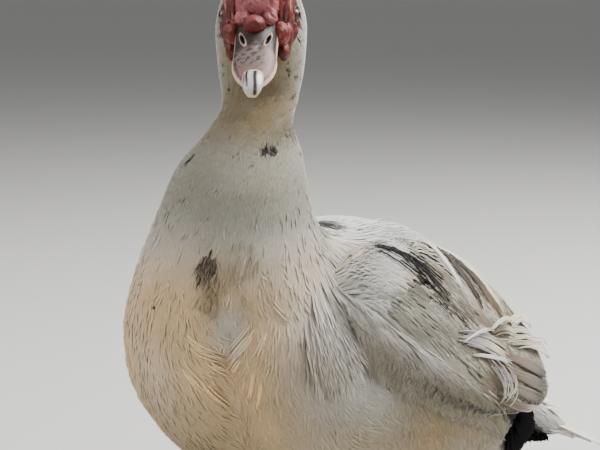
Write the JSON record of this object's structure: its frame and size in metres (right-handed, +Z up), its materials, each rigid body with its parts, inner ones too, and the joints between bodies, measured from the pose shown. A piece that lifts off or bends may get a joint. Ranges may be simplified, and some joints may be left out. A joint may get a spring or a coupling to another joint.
{
  "type": "muscovy duck",
  "caption": "Life-size standing muscovy duck with a caruncled red face, folded patterned wings and a sloping body, on webbed feet that rest flat on a floor",
  "frame": {"origin": "Bottom centre of the bounding box, on the floor the duck stands on", "axes": "+Z up; the body faces -Y with its tail at +Y; +X is the duck's left side, towards which the head is turned"},
  "size_m": [0.2838, 0.5318, 0.463],
  "materials": {
    "body_feather": "matte soft feather",
    "wing_feather": "satin feather vane",
    "tail_feather": "satin feather vane",
    "face_skin": "moist satin caruncled skin",
    "bill_horn": "satin horn",
    "nail_horn": "satin horn",
    "eye_gloss": "wet gloss",
    "leg_skin": "scaled satin skin",
    "claw_horn": "satin horn"
  },
  "bodies": {
    "root": {"bill_lower": "bill_horn", "bill_nail": "nail_horn", "bill_upper": "bill_horn", "claw_hind_left": "claw_horn", "claw_hind_right": "claw_horn", "claw_inner_left": "claw_horn", "claw_inner_right": "claw_horn", "claw_middle_left": "claw_horn", "claw_middle_right": "claw_horn", "claw_outer_left": "claw_horn", "claw_outer_right": "claw_horn", "eye_left": "eye_gloss", "eye_right": "eye_gloss", "foot_left": "leg_skin", "foot_right": "leg_skin", "head": "face_skin", "neck": "body_feather", "shank_left": "leg_skin", "shank_right": "leg_skin", "tail": "tail_feather", "thigh_left": "body_feather", "thigh_right": "body_feather", "torso": "body_feather", "wing_left": "wing_feather", "wing_right": "wing_feather"}
  },
  "joints": []
}
